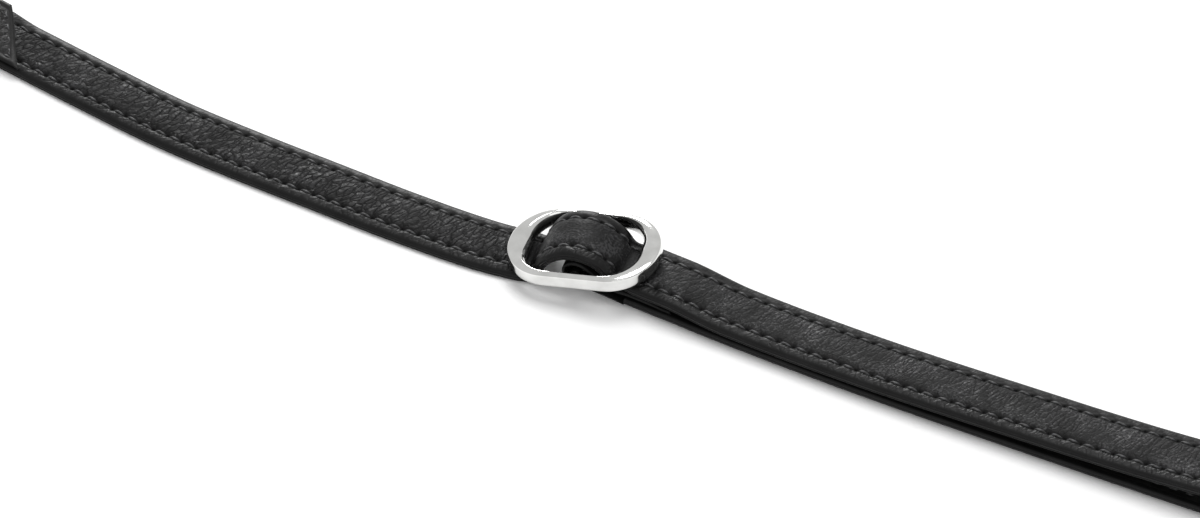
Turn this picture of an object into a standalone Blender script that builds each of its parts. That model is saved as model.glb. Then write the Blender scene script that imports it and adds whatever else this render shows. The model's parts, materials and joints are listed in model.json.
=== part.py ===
"""Martingale: the chest strap of a running martingale, lying on a flat surface.

One turned-edge leather strap leaves the fork joint, passes through an oval slide adjuster, doubles back
in the girth loop and ends wrapped round the slide's bar. Two arms leave the fork and each holds a rein ring.
+X runs along the strap from the fork to the girth loop, +Z is up and the strap lies on Z = 0.
"""

import math

import bmesh
import bpy
from mathutils import Matrix, Vector

MM = 0.001

# Leather strap: a face with turned-down edges, a core tape and a lining let in between the edges.
STRAP_WIDTH = 16 * MM
ARM_WIDTH = 12 * MM
FACE_THICK = 0.9 * MM
CORE_THICK = 0.2 * MM
LINING_THICK = 0.9 * MM
EDGE_TURN = 1.2 * MM
EDGE_ROUND = 0.35 * MM
GAP = 0.3 * MM
STRAP_THICK = FACE_THICK + CORE_THICK + LINING_THICK + 2 * GAP

# Strap tail: skived thin where it wraps the bar and folds back on itself.
TAIL_THICK = 1.6 * MM
TAIL_START = 12.5 * MM
TAIL_LENGTH = 26 * MM
TAIL_NARROWER = 0.4 * MM

# Oval slide with a fixed centre bar.
SLIDE_LENGTH = 38 * MM
SLIDE_HEIGHT = 4.2 * MM
SLIDE_DROP = 1.2 * MM
SLIDE_END = 5.25 * MM
SLIDE_RAIL = 2.0 * MM
WINDOW_CLEARANCE = 1.75 * MM
SLIDE_WIDTH = STRAP_WIDTH + 2 * (WINDOW_CLEARANCE + SLIDE_RAIL)
SLIDE_ROUND = 0.6 * MM
SLIDE_YAW = 11.0
SLIDE_PITCH = 9.5
BAR_DIAMETER = 3.5 * MM
BAR_TENON = 1.5 * MM
TENON_CLEARANCE = 0.15 * MM
WINDOW_CORNER = 7.5 * MM
FRAME_CORNER = 11.5 * MM

# The strap's arch over the bar, and how it is squeezed where it passes the window's round corners.
ARCH_INSET = 3.75 * MM
ARCH_RADIUS = SLIDE_LENGTH / 2 - SLIDE_END - ARCH_INSET
ENTRY_SLOPE = 74.0
ENTRY_RADIUS = 3 * MM
EXIT_SLOPE = 52.0
EXIT_RADIUS = 3 * MM
STACK_LIFT = 0.25 * MM
ARCH_CLEARANCE = 0.8 * MM
TAIL_SLOPE = 36.0
TAIL_BEND = 6.4 * MM
CORNER_PINCH = 1.2 * MM
PINCH_RUN = 5 * MM

# Girth loop, where the strap doubles back.
LOOP_AT = 223 * MM
LOOP_HEIGHT = 16.5 * MM
LOOP_SPLIT = LOOP_AT - 23 * MM
RUN_GAP = 0.7 * MM

# Fork joint: the strap's end and the arms' ends between two thin covers.
STRAP_END = -187 * MM
COVER_THICK = 1.0 * MM
COVER_SLANT = 14.5 * MM
COVER_TIP = -161 * MM
COVER_BASE = -216 * MM
COVER_SPREAD_AT = -184 * MM
BOTTOM_COVER_TIP = -172 * MM
STRAP_RAMP = 10 * MM
COVER_FLARE = 0.18

# Arms and rein rings.
ARM_LENGTH = 150 * MM
ARM_TURN_BACK = 35 * MM
ARM_SPLAY = 17.0
ARM_GAP = 0.6 * MM
RING_DIAMETER = 45 * MM
RING_WIRE = 4 * MM
RING_PLAY = 1.0 * MM

# Where one body's leather ends and the next one's begins.
ARCH_FROM = -26 * MM
ARCH_TO = 26 * MM

# The strap's line seen from above, as (x, y) in millimetres, with the slide's bar at the origin.
PLAN = (
    (-226, 10.5), (-190, 5.2), (-160, 1.6), (-136, -1.4), (-113, -3.9), (-91, -4.7), (-69, -4.9),
    (-47, -5.0), (-26, -4.2), (-12, -2.2), (0, 0), (12, 1.9), (22, 2.1), (40, 1.7), (77, 2.0),
    (122, 3.8), (161, 5.7), (200, 8.2), (240, 11.4),
)


# ---------------------------------------------------------------- smooth lines


def curve_through(points, step=0.5 * MM):
    """Close points of a smooth curve through the chosen ones, ends included."""
    spaced = [points[0] * 2 - points[1], *points, points[-1] * 2 - points[-2]]
    found = []
    for before, start, end, after in zip(spaced, spaced[1:], spaced[2:], spaced[3:]):
        span = (end - start).length
        slope_in = (end - before) * (span / max((end - before).length, 1e-9))
        slope_out = (after - start) * (span / max((after - start).length, 1e-9))
        count = max(2, round(span / step))
        for n in range(count):
            t = n / count
            found.append(
                start * (2 * t**3 - 3 * t**2 + 1)
                + slope_in * (t**3 - 2 * t**2 + t)
                + end * (3 * t**2 - 2 * t**3)
                + slope_out * (t**3 - t**2)
            )
    return [*found, points[-1]]


def arc(centre, radius, start, end, step=7.5):
    """Points of an arc from one angle to another, in degrees."""
    count = max(2, math.ceil(abs(end - start) / step))
    angles = [math.radians(start + (end - start) * n / count) for n in range(count + 1)]
    return [centre + radius * Vector((math.cos(a), math.sin(a))) for a in angles]


def bend_down(start, slope, level, radius):
    """The rounded corner where a line that runs down at this slope, in degrees, levels out."""
    angle = math.radians(slope)
    run = (start.y - level - radius * (1 - math.cos(angle))) / math.sin(angle)
    corner = start + run * Vector((math.cos(angle), -math.sin(angle)))
    centre = corner + radius * Vector((math.sin(angle), math.cos(angle)))
    return arc(centre, radius, -90 - slope, -90)


def mirrored(points):
    return [Vector((-point.x, point.y)) for point in reversed(points)]


def no_lower_than(lowest, points):
    return [Vector((point.x, max(point.y, lowest))) for point in points]


class Line:
    """A smooth line in a plane, read by the distance along it. It runs straight on past its ends."""

    def __init__(self, points, counted_from=None, reading=0.0):
        self.points = points
        self.at = [0.0]
        for a, b in zip(points, points[1:]):
            self.at.append(self.at[-1] + (b - a).length)
        if counted_from is not None:
            shift = reading - self.nearest(counted_from)
            self.at = [distance + shift for distance in self.at]

    def index(self, distance):
        low, high = 0, len(self.at) - 2
        while low < high:
            middle = (low + high + 1) // 2
            if self.at[middle] <= distance:
                low = middle
            else:
                high = middle - 1
        return low

    def tangent(self, n):
        a, b = self.points[max(n - 1, 0)], self.points[min(n + 1, len(self.points) - 1)]
        return (b - a).normalized()

    def read(self, distance):
        """The point and the direction at a distance along the line."""
        n = self.index(distance)
        share = (distance - self.at[n]) / (self.at[n + 1] - self.at[n])
        point = self.points[n].lerp(self.points[n + 1], share)
        inside = min(max(share, 0), 1)
        return point, self.tangent(n).lerp(self.tangent(n + 1), inside).normalized()

    def nearest(self, point, low=-math.inf):
        """The distance along the line of the place nearest a point, past the distance low."""
        places = [n for n in range(len(self.points)) if self.at[n] >= low]
        return self.at[min(places, key=lambda n: (self.points[n] - point).length)]


class Strap:
    """A strap's route: its line seen from above, and its height along that line."""

    def __init__(self, plan, side, pinched=()):
        self.plan = plan
        self.side = side
        self.pinched = pinched

    def width_share(self, along):
        """How much of its width the strap keeps, less where it squeezes past the slide's window."""
        away = min((abs(along - place) / PINCH_RUN for place in self.pinched), default=1)
        outside = min(away, 1)
        return 1 - CORNER_PINCH / STRAP_WIDTH * (1 - outside**2 * (3 - 2 * outside))

    def place(self, along, across, up):
        """A point of the straight strap, laid on the route. Up is counted from the middle of its thickness."""
        across = across * self.width_share(along)
        middle, direction = self.side.read(along)
        x, z = middle + up * Vector((-direction.y, direction.x))
        ground, heading = self.plan.read(x)
        y_axis = Vector((-heading.y, heading.x))
        spot = ground + across * y_axis
        return Vector((spot.x, spot.y, z))

    def stations(self, start, end, turn=9.0, step=9 * MM):
        """Places along the route, closer where it bends."""
        places, last = [start], self.side.read(start)[1]
        count = math.ceil((end - start) / (0.25 * MM))
        for n in range(1, count):
            here = start + (end - start) * n / count
            direction = self.side.read(here)[1]
            turned = math.degrees(abs(last.angle_signed(direction, 0)))
            if (turned > turn or here - places[-1] > step) and end - here > 1 * MM:
                places.append(here)
                last = direction
        return [*places, end]


# ---------------------------------------------------------------- materials and objects


def material(name, colour, roughness, metallic=0.0):
    made = bpy.data.materials.new(name)
    made.use_nodes = True
    shader = made.node_tree.nodes["Principled BSDF"]
    shader.inputs["Base Color"].default_value = (*colour, 1)
    shader.inputs["Roughness"].default_value = roughness
    shader.inputs["Metallic"].default_value = metallic
    made.diffuse_color = (*colour, 1)
    return made


def new_object(name, mesh, finish, owner, origin=None):
    made = bpy.data.objects.new(name, mesh)
    made.data.materials.append(finish)
    PARTS.objects.link(made)
    made.parent = owner
    if origin is not None:
        mesh.transform(Matrix.Translation(-origin))
        made.location = origin
    return made


def swept(name, outline, route, start, end, finish, owner, origin=None):
    """A solid with this outline, as (across, up) points, extruded along the route."""
    mesh = bpy.data.meshes.new(name)
    form = bmesh.new()
    places = route.stations(start, end)
    ring = [form.verts.new(route.place(places[0], *point)) for point in outline]
    cap = form.faces.new(ring)
    for place in places[1:]:
        order = {tuple(vertex.co): n for n, vertex in enumerate(ring)}
        grown = bmesh.ops.extrude_face_region(form, geom=[cap])["geom"]
        if place != places[1]:
            form.faces.remove(cap)
        cap = next(item for item in grown if isinstance(item, bmesh.types.BMFace))
        ring = sorted(cap.verts, key=lambda vertex: order[tuple(vertex.co)])
        for vertex, point in zip(ring, outline):
            vertex.co = route.place(place, *point)
    bmesh.ops.recalc_face_normals(form, faces=form.faces)
    form.to_mesh(mesh)
    form.free()
    return new_object(name, mesh, finish, owner, origin)


def plate(name, sides, low, high, route, start, end, finish, owner, slant=0.0):
    """A thin sheet on the route. Sides gives its half width, and slant shears its far end."""
    mesh = bpy.data.meshes.new(name)
    form = bmesh.new()
    bmesh.ops.create_grid(form, x_segments=16, y_segments=6, size=0.5)
    for vertex in form.verts:
        share, across = vertex.co.x + 0.5, 2 * vertex.co.y
        vertex.co.x = start + (end - start) * share - slant / 2 * across * share**3
        vertex.co.y = across * sides(vertex.co.x)
    top = bmesh.ops.extrude_face_region(form, geom=form.faces[:])["geom"]
    raised = {item for item in top if isinstance(item, bmesh.types.BMVert)}
    for vertex in form.verts:
        height = high if vertex in raised else low
        vertex.co = route.place(vertex.co.x, vertex.co.y, height)
    bmesh.ops.recalc_face_normals(form, faces=form.faces)
    form.to_mesh(mesh)
    form.free()
    return new_object(name, mesh, finish, owner)


# ---------------------------------------------------------------- outlines across the strap


def face_outline(width):
    """The face leather: its flat, and the edges turned down to the strap's underside."""
    side, bottom, top = width / 2, -STRAP_THICK / 2, STRAP_THICK / 2
    inner, under = side - EDGE_TURN, top - FACE_THICK
    return (
        (-side, bottom), (-inner, bottom), (-inner, under), (inner, under), (inner, bottom),
        (side, bottom), (side, top - EDGE_ROUND), (side - EDGE_ROUND, top),
        (EDGE_ROUND - side, top), (-side, top - EDGE_ROUND),
    )


def flat_outline(width, low, high):
    return ((-width / 2, low), (width / 2, low), (width / 2, high), (-width / 2, high))


def layers(width):
    """Each layer of a strap of this width: its name, outline and material."""
    bottom, top = -STRAP_THICK / 2, STRAP_THICK / 2
    inside = width - 2 * (EDGE_TURN + GAP)
    core_top = top - FACE_THICK - GAP
    return (
        ("face", face_outline(width), LEATHER),
        ("core", flat_outline(inside, core_top - CORE_THICK, core_top), TAPE),
        ("lining", flat_outline(inside, bottom, bottom + LINING_THICK), LINING),
    )


# ---------------------------------------------------------------- routes


def bar_height():
    """High enough for the slide's low end to clear the strap, and its high end the three runs under it."""
    pitch = math.radians(SLIDE_PITCH)
    drop = SLIDE_DROP * math.cos(pitch)
    window = SLIDE_LENGTH / 2 - SLIDE_END
    low_end = STRAP_THICK + GAP + drop + (SLIDE_LENGTH / 2 - 2 * SLIDE_ROUND) * math.sin(pitch)
    stack = STACK_LIFT + 2 * STRAP_THICK + TAIL_THICK + 2 * GAP
    high_end = stack + GAP + drop - window * math.sin(pitch)
    return max(low_end, high_end)


def tail_lift():
    """How far the lower run is off the ground where it thins into the tail."""
    window = SLIDE_LENGTH / 2 - SLIDE_END
    under_bar = bar_height() - BAR_DIAMETER / 2 - GAP - TAIL_THICK
    return STACK_LIFT + (under_bar - STACK_LIFT) * (1 - TAIL_START / window) * 0.85


def main_side():
    """The heights of the strap's middle, from the fork over the bar and round the girth loop to the tail."""
    half = STRAP_THICK / 2
    raised = COVER_THICK + GAP + half
    bar = Vector((0, bar_height()))
    over = BAR_DIAMETER / 2 + GAP + TAIL_THICK + ARCH_CLEARANCE + half
    centre = bar + Vector((0, over - ARCH_RADIUS))
    arch = arc(centre, ARCH_RADIUS, 90 + ENTRY_SLOPE, 90 - EXIT_SLOPE)
    bend = mirrored(bend_down(Vector((-arch[0].x, arch[0].y)), ENTRY_SLOPE, half, ENTRY_RADIUS))
    window = SLIDE_LENGTH / 2 - SLIDE_END
    stack = STACK_LIFT + STRAP_THICK + TAIL_THICK + 2 * GAP + half
    tail_top = STRAP_THICK + GAP + TAIL_THICK
    run = STRAP_THICK + RUN_GAP + half
    loop_radius = LOOP_HEIGHT / 2 - half
    top = LOOP_HEIGHT - half
    ramp_end = BOTTOM_COVER_TIP + STRAP_RAMP + 3 * MM
    points = [
        Vector((COVER_BASE - 20 * MM, raised)),
        Vector((BOTTOM_COVER_TIP - 10 * MM, raised)),
        Vector((BOTTOM_COVER_TIP + 3 * MM, raised)),
        Vector((ramp_end, half)),
        Vector((bend[0].x - 20 * MM, half)),
        *bend,
        *arch,
        *bend_down(arch[-1], EXIT_SLOPE, stack, EXIT_RADIUS),
        Vector((window, stack)),
        Vector((window + 5 * MM, tail_top + GAP + half + 0.05 * MM)),
        Vector((TAIL_LENGTH, tail_top + GAP + half - 0.1 * MM)),
        Vector((40 * MM, run)),
        Vector((70 * MM, run)),
        Vector((110 * MM, run + 0.9 * MM)),
        Vector((LOOP_AT - 73 * MM, run + 2.3 * MM)),
        Vector((LOOP_AT - 38 * MM, top - 5.2 * MM)),
        Vector((LOOP_AT - 18 * MM, top - 1.9 * MM)),
        *arc(Vector((LOOP_AT, top - loop_radius)), loop_radius, 90, -90),
        Vector((LOOP_SPLIT, half)),
        Vector((60 * MM, half)),
        Vector((window + 9 * MM, half)),
        Vector((window, half + STACK_LIFT)),
        Vector((TAIL_START, half + tail_lift())),
        Vector((TAIL_START - 5 * MM, half + 2 * tail_lift())),
    ]
    return Line(no_lower_than(half, curve_through(points)), points[4], reading=points[4].x)


def tail_side():
    """The heights of the thin tail's middle: under the bar, round it, and back along the top of the lower run."""
    thin = TAIL_THICK / 2
    bar = Vector((0, bar_height()))
    around = BAR_DIAMETER / 2 + GAP + thin
    window = SLIDE_LENGTH / 2 - SLIDE_END
    folded = STRAP_THICK + GAP + thin
    wrap = arc(bar, around, -106, -270 - TAIL_SLOPE)
    points = [
        Vector((window, thin + STACK_LIFT)),
        Vector((TAIL_START, thin + tail_lift())),
        *wrap,
        *bend_down(wrap[-1], TAIL_SLOPE, STACK_LIFT + folded, TAIL_BEND),
        Vector((window, STACK_LIFT + folded)),
        Vector((window + 6 * MM, folded + 0.05 * MM)),
        Vector((TAIL_LENGTH, folded)),
    ]
    return Line(curve_through(points))


def arm_side(length):
    """The heights of an arm's middle: out of the fork, along, over its turned-back end, round the ring and back."""
    half = STRAP_THICK / 2
    raised = COVER_THICK + GAP + half
    doubled = STRAP_THICK + GAP + half
    covered = STRAP_END - COVER_BASE
    radius = RING_WIRE / 2 + RING_PLAY + half
    start = length - ARM_TURN_BACK
    points = [
        Vector((-5 * MM, raised)),
        Vector((covered * 0.6, raised)),
        Vector((covered + 3 * MM, raised)),
        Vector((covered + STRAP_RAMP + 3 * MM, half)),
        Vector((covered + 2 * STRAP_RAMP, half)),
        Vector((start - 20 * MM, half)),
        Vector((start - 3 * MM, doubled + 0.1 * MM)),
        Vector((length - 16 * MM, doubled + 0.2 * MM)),
        *arc(Vector((length, half + radius)), radius, 90, -90),
        Vector((length - 12 * MM, half)),
        Vector((start, half)),
    ]
    return Line(no_lower_than(half, curve_through(points)))


def arm_plan(fork, heading, side, bow):
    """An arm's line from above: beside its twin in the fork, then away from it in a loose bow."""
    across = Vector((-heading.y, heading.x)) * side
    beside = (ARM_WIDTH + ARM_GAP) / 2
    splay = math.tan(math.radians(ARM_SPLAY))
    covered = STRAP_END - COVER_BASE
    reach = ARM_LENGTH + RING_DIAMETER
    points = [
        (-5 * MM, beside), (covered * 0.35, beside + 0.1 * MM), (covered, beside + covered * splay * 0.42),
        (covered + 32 * MM, beside + (covered + 32 * MM) * splay),
        (covered + 70 * MM, beside + (covered + 70 * MM) * splay * bow),
        (reach, beside + reach * splay * bow * bow),
    ]
    line = [fork + heading * along + across * aside for along, aside in points]
    return Line(curve_through(line), fork + across * beside)


# ---------------------------------------------------------------- metal pieces


def oval(width, length, corner):
    """The outline of an oval with straight sides and round corners, long along X."""
    x, y = length / 2 - corner, width / 2 - corner
    corners = ((x, y), (-x, y), (-x, -y), (x, -y))
    outline = []
    for n, spot in enumerate(corners):
        outline += arc(Vector(spot), corner, 90 * n, 90 * n + 90, 15)
    return outline


def slide_frame(finish, owner, placed):
    """The oval frame, as a flat outline with a window, cut through its rails for the bar's ends."""
    flat = bpy.data.curves.new("slide_outline", "CURVE")
    flat.dimensions = "2D"
    flat.fill_mode = "BOTH"
    flat.extrude = SLIDE_HEIGHT / 2 - SLIDE_ROUND
    flat.bevel_depth = SLIDE_ROUND
    flat.bevel_resolution = 1
    grown = 2 * SLIDE_ROUND
    edges = (
        oval(SLIDE_WIDTH - grown, SLIDE_LENGTH - grown, FRAME_CORNER - SLIDE_ROUND),
        oval(SLIDE_WIDTH - 2 * SLIDE_RAIL + grown, SLIDE_LENGTH - 2 * SLIDE_END + grown, WINDOW_CORNER + SLIDE_ROUND),
    )
    for outline in edges:
        spline = flat.splines.new("POLY")
        spline.points.add(len(outline) - 1)
        for point, spot in zip(spline.points, outline):
            point.co = (spot.x, spot.y, 0, 1)
        spline.use_cyclic_u = True
    guide = bpy.data.objects.new("slide_outline", flat)
    PARTS.objects.link(guide)
    bpy.context.view_layer.update()
    mesh = bpy.data.meshes.new_from_object(guide.evaluated_get(bpy.context.evaluated_depsgraph_get()))
    bpy.data.objects.remove(guide)
    form = bmesh.new()
    form.from_mesh(mesh)
    bmesh.ops.remove_doubles(form, verts=form.verts, dist=0.01 * MM)
    bmesh.ops.translate(form, verts=form.verts, vec=(0, 0, SLIDE_HEIGHT / 2 - SLIDE_DROP))
    bmesh.ops.recalc_face_normals(form, faces=form.faces)
    form.to_mesh(mesh)
    form.free()
    frame = new_object("slide_frame", mesh, finish, owner)
    frame.matrix_local = placed

    hole = bpy.data.meshes.new("bar_hole")
    form = bmesh.new()
    radius = BAR_TENON / 2 + TENON_CLEARANCE
    bmesh.ops.create_cone(
        form, cap_ends=True, segments=16, radius1=radius, radius2=radius, depth=2 * SLIDE_WIDTH,
        matrix=Matrix.Rotation(math.radians(90), 4, "X"),
    )
    form.to_mesh(hole)
    form.free()
    cutter = bpy.data.objects.new("bar_hole", hole)
    CUTTERS.objects.link(cutter)
    cutter.parent = owner
    cutter.matrix_local = placed
    cutter.hide_render = True
    cutter.display_type = "WIRE"
    cut = frame.modifiers.new("bar_holes", "BOOLEAN")
    cut.object = cutter
    cut.operation = "DIFFERENCE"
    return frame


def slide_bar(finish, owner, placed):
    """The centre bar, turned, with a thinner end in each rail."""
    inner = SLIDE_WIDTH / 2 - SLIDE_RAIL - GAP
    outer = SLIDE_WIDTH / 2 - GAP
    profile = (
        (0, outer), (BAR_TENON / 2, outer), (BAR_TENON / 2, inner), (BAR_DIAMETER / 2, inner),
        (BAR_DIAMETER / 2, -inner), (BAR_TENON / 2, -inner), (BAR_TENON / 2, -outer), (0, -outer),
    )
    mesh = bpy.data.meshes.new("slide_bar")
    mesh.from_pydata([(r, 0, h) for r, h in profile], [(n, n + 1) for n in range(len(profile) - 1)], [])
    bar = new_object("slide_bar", mesh, finish, owner)
    bar.matrix_local = placed @ Matrix.Rotation(math.radians(90), 4, "X")
    turned = bar.modifiers.new("turned", "SCREW")
    turned.steps = turned.render_steps = 16
    turned.use_merge_vertices = True
    turned.merge_threshold = 0.00001
    return bar


def rein_ring(name, finish, owner, hinge, outward, drop):
    """A ring that hangs in its arm's end, with its origin on the axis it swings about."""
    radius = (RING_DIAMETER - RING_WIRE) / 2
    bow = radius - math.sqrt(radius**2 - (ARM_WIDTH / 2) ** 2)
    bpy.ops.mesh.primitive_torus_add(
        major_radius=radius, minor_radius=RING_WIRE / 2, major_segments=40, minor_segments=10,
    )
    torus = bpy.context.object
    mesh = torus.data
    bpy.data.objects.remove(torus)
    mesh.transform(Matrix.Translation((radius - bow / 2, 0, 0)))
    ring = new_object(name, mesh, finish, owner)
    heading = math.atan2(outward.y, outward.x)
    tilt = math.asin(drop / (2 * radius - bow / 2))
    ring.matrix_local = (
        Matrix.Translation(hinge) @ Matrix.Rotation(heading, 4, "Z") @ Matrix.Rotation(tilt, 4, "Y")
    )
    return ring


# ---------------------------------------------------------------- the whole martingale


def chest_strap(strap, owner):
    """The strap's five runs, each a face, a core and a lining."""
    seam = GAP / 2
    loop_start = strap.side.nearest(Vector((LOOP_SPLIT, LOOP_HEIGHT)), low=ARCH_TO)
    bight = strap.side.nearest(Vector((LOOP_AT + LOOP_HEIGHT, LOOP_HEIGHT / 2)))
    loop_end = strap.side.nearest(Vector((LOOP_SPLIT, 0)), low=bight)
    tail = strap.side.nearest(Vector((TAIL_START, 0)), low=bight)
    runs = (
        ("left_run", STRAP_END, ARCH_FROM - seam),
        ("arch", ARCH_FROM + seam, ARCH_TO - seam),
        ("upper_run", ARCH_TO + seam, loop_start - seam),
        ("loop_end", loop_start + seam, loop_end - seam),
        ("lower_run", loop_end + seam, tail - seam),
    )
    for layer, outline, finish in layers(STRAP_WIDTH):
        for run, start, end in runs:
            swept(f"{layer}_{run}", outline, strap, start, end, finish, owner)


def strap_tail(plan, owner):
    """The thin tail, wrapped round the bar and folded back."""
    side = tail_side()
    tail = Strap(plan, side)
    outline = flat_outline(STRAP_WIDTH - TAIL_NARROWER, -TAIL_THICK / 2, TAIL_THICK / 2)
    start = side.nearest(Vector((TAIL_START, 0))) + GAP / 2
    swept("tail_wrap", outline, tail, start, side.at[-1], LEATHER, owner)


def fork_covers(strap, fork_half, owner):
    """The covers above and below the fork, widening from the strap to the arms."""
    top = STRAP_THICK / 2 + GAP
    bottom = -top

    def sides(along):
        share = min(max((COVER_SPREAD_AT - along) / (COVER_SPREAD_AT - COVER_BASE), 0), 1)
        return STRAP_WIDTH / 2 + (fork_half - STRAP_WIDTH / 2) * share**0.8

    plate("fork_cover_top", sides, top, top + COVER_THICK, strap, COVER_BASE, COVER_TIP,
          LEATHER, owner, slant=COVER_SLANT)
    plate("fork_cover_bottom", sides, bottom - COVER_THICK, bottom, strap, COVER_BASE,
          BOTTOM_COVER_TIP, LINING, owner)


def arm_and_ring(which, side, bow, plan, owner):
    """One arm, turned back round its rein ring."""
    fork, inward = plan.read(STRAP_END)
    line = arm_plan(fork - inward * GAP, -inward, -side, bow)
    heights = arm_side(ARM_LENGTH)
    arm = Strap(line, heights)
    covered = STRAP_END - COVER_BASE
    hinge = arm.place(covered, 0, -COVER_THICK - GAP)
    for layer, outline, finish in layers(ARM_WIDTH):
        swept(f"{layer}_arm_{which}", outline, arm, 5 * MM, heights.at[-1], finish, owner, hinge)
    end, outward = line.read(ARM_LENGTH)
    lift = STRAP_THICK + RING_WIRE / 2 + RING_PLAY
    hung = Vector((end.x, end.y, lift))
    rein_ring(f"ring_{which}", STEEL, owner, hung, outward, lift - RING_WIRE / 2)


def stand_on_origin(owner):
    """Moves the whole so that its box's bottom centre is the origin."""
    bpy.context.view_layer.update()
    graph = bpy.context.evaluated_depsgraph_get()
    spots = []
    for piece in PARTS.objects:
        shape = piece.evaluated_get(graph)
        if piece.type == "MESH":
            spots += [shape.matrix_world @ vertex.co for vertex in shape.data.vertices]
    low = Vector([min(spot[n] for spot in spots) for n in range(3)])
    high = Vector([max(spot[n] for spot in spots) for n in range(3)])
    owner.location = (-(low.x + high.x) / 2, -(low.y + high.y) / 2, -low.z)


for old in list(bpy.data.objects):
    bpy.data.objects.remove(old)
PARTS = bpy.data.collections.new("martingale")
CUTTERS = bpy.data.collections.new("cutters")
bpy.context.scene.collection.children.link(PARTS)
bpy.context.scene.collection.children.link(CUTTERS)
LEATHER = material("black_strap_leather", (0.035, 0.035, 0.037), 0.45)
LINING = material("black_lining_leather", (0.02, 0.02, 0.02), 0.55)
TAPE = material("core_tape", (0.25, 0.23, 0.2), 0.9)
STEEL = material("polished_chrome", (0.75, 0.75, 0.74), 0.12, 1.0)


def main():
    whole = bpy.data.objects.new("martingale", None)
    PARTS.objects.link(whole)
    plan = Line(curve_through([Vector(point) * MM for point in PLAN]), Vector((0, 0)))
    side = main_side()
    corner = SLIDE_LENGTH / 2 - SLIDE_END - WINDOW_CORNER / 3
    entry = side.nearest(Vector((-corner, STRAP_THICK)))
    leaving = side.nearest(Vector((corner, bar_height())), side.nearest(Vector((0, LOOP_HEIGHT))))
    strap = Strap(plan, side, (entry, leaving))
    chest_strap(strap, whole)
    strap_tail(plan, whole)
    placed = (
        Matrix.Translation((0, 0, bar_height()))
        @ Matrix.Rotation(math.radians(SLIDE_YAW), 4, "Z")
        @ Matrix.Rotation(-math.radians(SLIDE_PITCH), 4, "Y")
    )
    slide_frame(STEEL, whole, placed)
    slide_bar(STEEL, whole, placed)
    fork_half = ARM_GAP / 2 + ARM_WIDTH + (STRAP_END - COVER_BASE) * COVER_FLARE
    fork_covers(strap, fork_half, whole)
    arm_and_ring("far", 1, 0.96, plan, whole)
    arm_and_ring("near", -1, 0.9, plan, whole)
    stand_on_origin(whole)


main()
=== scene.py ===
import json
import math

import bpy
import numpy as np
from mathutils import Matrix, Vector


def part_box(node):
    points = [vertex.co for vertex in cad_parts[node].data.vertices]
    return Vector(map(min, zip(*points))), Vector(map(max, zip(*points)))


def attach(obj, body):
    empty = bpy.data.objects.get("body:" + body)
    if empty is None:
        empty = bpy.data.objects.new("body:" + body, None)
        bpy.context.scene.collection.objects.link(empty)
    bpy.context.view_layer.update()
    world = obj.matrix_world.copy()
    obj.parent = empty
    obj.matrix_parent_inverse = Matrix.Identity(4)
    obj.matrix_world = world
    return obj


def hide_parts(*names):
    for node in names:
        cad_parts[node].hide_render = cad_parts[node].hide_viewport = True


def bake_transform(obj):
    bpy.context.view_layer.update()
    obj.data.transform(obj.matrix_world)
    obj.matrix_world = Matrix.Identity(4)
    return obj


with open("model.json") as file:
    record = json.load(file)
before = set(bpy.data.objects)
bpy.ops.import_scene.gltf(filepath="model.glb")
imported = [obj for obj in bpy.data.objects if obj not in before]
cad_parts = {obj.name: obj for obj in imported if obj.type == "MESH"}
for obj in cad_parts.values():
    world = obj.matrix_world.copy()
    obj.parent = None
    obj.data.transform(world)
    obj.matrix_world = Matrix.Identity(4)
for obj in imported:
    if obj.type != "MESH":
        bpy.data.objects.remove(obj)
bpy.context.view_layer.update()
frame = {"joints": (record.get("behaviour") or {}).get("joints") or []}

MM = 0.001

# ---------------------------------------------------------------- sizes of the real pieces

STRAP_WIDTH, ARM_WIDTH = 16 * MM, 12 * MM
STRAP_THICK = 2.6 * MM
LEATHER_THICK = 0.9 * MM
GAP = 0.3 * MM
STITCH_PITCH = 4.1 * MM
STITCH_LENGTH = 3.1 * MM
THREAD_RADIUS = 0.37 * MM
THREAD_HEIGHT = 1.17 * MM
ROW_INSET, COVER_ROW_INSET = 3.2 * MM, 1.9 * MM

TAIL_THICK = 1.6 * MM
TAIL_START = 12.5 * MM
TAIL_LENGTH = 26 * MM

SLIDE_LENGTH, SLIDE_WIDTH = 38 * MM, 23.5 * MM
SLIDE_HEIGHT, SLIDE_DROP = 4.2 * MM, 1.2 * MM
SLIDE_END, SLIDE_RAIL = 5.25 * MM, 2.0 * MM
WINDOW_CORNER, FRAME_CORNER = 7.5 * MM, 11.5 * MM
SLIDE_YAW, SLIDE_PITCH = math.radians(11.0), math.radians(9.5)
BAR_RADIUS = 1.75 * MM
ARCH_INSET = 3.75 * MM
ARCH_RADIUS = SLIDE_LENGTH / 2 - SLIDE_END - ARCH_INSET
ENTRY_SLOPE, ENTRY_RADIUS = 74.0, 3 * MM
EXIT_SLOPE, EXIT_RADIUS = 52.0, 3 * MM
STACK_LIFT, ARCH_CLEARANCE = 0.25 * MM, 0.8 * MM
TAIL_SLOPE, TAIL_BEND = 36.0, 6.4 * MM
CORNER_PINCH, PINCH_RUN = 1.2 * MM, 5 * MM

LOOP_AT, LOOP_HEIGHT = 223 * MM, 16.5 * MM
LOOP_SPLIT = LOOP_AT - 23 * MM
RUN_GAP = 0.7 * MM
UNDER_SLIDE = 16.5 * MM

STRAP_END = -187 * MM
COVER_THICK, COVER_SLANT = 1.0 * MM, 14.5 * MM
COVER_TIP, COVER_BASE = -161 * MM, -216 * MM
COVER_SPREAD_AT, BOTTOM_COVER_TIP = -184 * MM, -172 * MM
COVER_FLARE, STRAP_RAMP = 0.18, 10 * MM

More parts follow.
